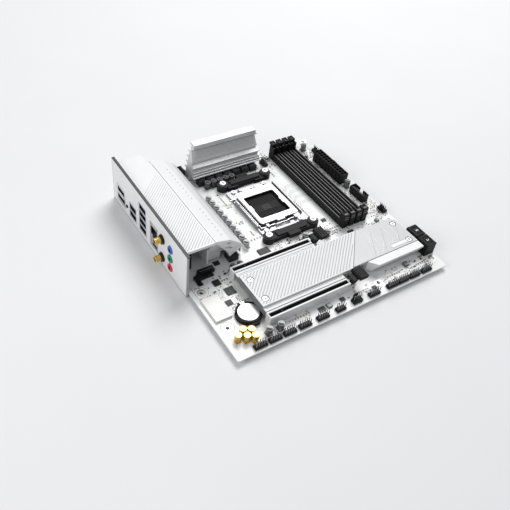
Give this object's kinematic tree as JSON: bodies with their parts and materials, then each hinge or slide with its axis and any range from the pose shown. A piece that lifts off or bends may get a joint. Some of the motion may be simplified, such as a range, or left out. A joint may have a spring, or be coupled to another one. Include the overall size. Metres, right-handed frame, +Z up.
{
  "type": "computer motherboard",
  "caption": "Micro-ATX computer motherboard with a hinged processor socket, latched memory and card slots, white heatsinks and covers, and a rear port plate.",
  "frame": {"origin": "axis of the datum mounting hole, at the underside of the board", "axes": "+X from the rear port edge to the front edge, +Y from the card slots towards the processor side, +Z up out of the component side"},
  "size_m": [0.2542, 0.244, 0.0502],
  "materials": {
    "solder_mask": "satin laminate with faint copper traces",
    "white_paint": "fine satin white powder coat",
    "dark_rim": "matte",
    "brushed_alloy": "brushed",
    "alloy_plate": "bead-blasted satin",
    "thermal_pad": "soft matte",
    "mould_black": "moulded epoxy",
    "choke_ferrite": "pressed ferrite",
    "can_silver": "satin can with printed half",
    "can_grey": "satin can",
    "can_gold": "gold anodised can",
    "socket_black": "smooth moulded",
    "gold_contacts": "gold plated",
    "socket_steel": "satin stamped",
    "lever_steel": "drawn wire",
    "screw_steel": "plated",
    "bracket_black": "satin moulded",
    "backplate_paint": "black paint",
    "slot_black": "moulded",
    "latch_black": "moulded",
    "slot_white": "moulded",
    "connector_black": "moulded",
    "coin_cell_steel": "polished",
    "shield_ivory": "satin",
    "chip_ceramic": "ceramic",
    "port_steel": "stamped",
    "jack_plastic": "moulded with coloured rings",
    "antenna_brass": "gold plated"
  },
  "bodies": {
    "board": {"pcb": "solder_mask", "io_shield": "white_paint", "io_gasket": "dark_rim", "io_cover": "white_paint", "vrm_heatsink_rear": "white_paint", "vrm_heatsink_top": "brushed_alloy", "thermal_pads": "thermal_pad", "power_stages": "mould_black", "vrm_chokes": "choke_ferrite", "vrm_capacitors": "can_silver", "socket_body": "socket_black", "socket_contacts": "gold_contacts", "socket_frame": "socket_steel", "socket_screws": "screw_steel", "cooler_bracket_top": "bracket_black", "cooler_bracket_bottom": "bracket_black", "cooler_screws": "screw_steel", "cooler_backplate": "backplate_paint", "memory_slot_1": "slot_black", "memory_slot_2": "slot_black", "memory_slot_3": "slot_black", "memory_slot_4": "slot_black", "card_slot_top": "slot_white", "card_slot_bottom": "slot_white", "card_slot_inserts": "slot_black", "m2_cover": "white_paint", "chipset_cover": "alloy_plate", "chipset_heatsink": "alloy_plate", "m2_connector": "connector_black", "m2_standoff": "screw_steel", "cover_screws": "screw_steel", "atx_power_connector": "connector_black", "eps_power_connector": "connector_black", "usb_header": "connector_black", "sata_ports": "connector_black", "fan_headers": "connector_black", "header_bases": "connector_black", "header_pins": "port_steel", "battery_holder": "connector_black", "battery": "coin_cell_steel", "audio_capacitors": "can_gold", "audio_shield": "shield_ivory", "bulk_capacitors": "can_grey", "control_chips": "mould_black", "small_parts": "chip_ceramic", "usb_ports": "port_steel", "network_port": "port_steel", "display_ports": "port_steel", "audio_jacks": "jack_plastic", "antenna_jacks": "antenna_brass", "flash_switch": "mould_black"},
    "load_plate": {"load_plate": "socket_steel"},
    "load_lever": {"load_lever": "lever_steel"},
    "memory_latch_1": {"memory_latch_1": "latch_black"},
    "memory_latch_2": {"memory_latch_2": "latch_black"},
    "memory_latch_3": {"memory_latch_3": "latch_black"},
    "memory_latch_4": {"memory_latch_4": "latch_black"},
    "card_latch_top": {"card_latch_top": "latch_black"},
    "card_latch_bottom": {"card_latch_bottom": "latch_black"},
    "flash_button": {"flash_button": "latch_black"}
  },
  "joints": [
    {"name": "load_plate_hinge", "type": "hinge", "parent": "board", "child": "load_plate", "pos_m": [0.118, 0.10399, 0.006], "axis": [-1, 0, 0], "range_deg": [0, 110]},
    {"name": "load_lever_hinge", "type": "hinge", "parent": "board", "child": "load_lever", "pos_m": [0.118, 0.04479, 0.005], "axis": [1, 0, 0], "range_deg": [0, 130]},
    {"name": "memory_latch_1_hinge", "type": "hinge", "parent": "board", "child": "memory_latch_1", "pos_m": [0.17464, 0.14659, 0.0056], "axis": [-1, 0, 0], "range_deg": [0, 35]},
    {"name": "memory_latch_2_hinge", "type": "hinge", "parent": "board", "child": "memory_latch_2", "pos_m": [0.18304, 0.14659, 0.0056], "axis": [-1, 0, 0], "range_deg": [0, 35]},
    {"name": "memory_latch_3_hinge", "type": "hinge", "parent": "board", "child": "memory_latch_3", "pos_m": [0.19144, 0.14659, 0.0056], "axis": [-1, 0, 0], "range_deg": [0, 35]},
    {"name": "memory_latch_4_hinge", "type": "hinge", "parent": "board", "child": "memory_latch_4", "pos_m": [0.19984, 0.14659, 0.0056], "axis": [-1, 0, 0], "range_deg": [0, 35]},
    {"name": "card_latch_top_hinge", "type": "hinge", "parent": "board", "child": "card_latch_top", "pos_m": [0.12624, 0.00285, 0.005], "axis": [0, 1, 0], "range_deg": [0, 25]},
    {"name": "card_latch_bottom_hinge", "type": "hinge", "parent": "board", "child": "card_latch_bottom", "pos_m": [0.12624, -0.05811, 0.005], "axis": [0, 1, 0], "range_deg": [0, 25]},
    {"name": "flash_button_press", "type": "slide", "parent": "board", "child": "flash_button", "axis": [1, 0, 0], "range_m": [0, 0.0008], "stiffness_N_per_m": 200}
  ]
}
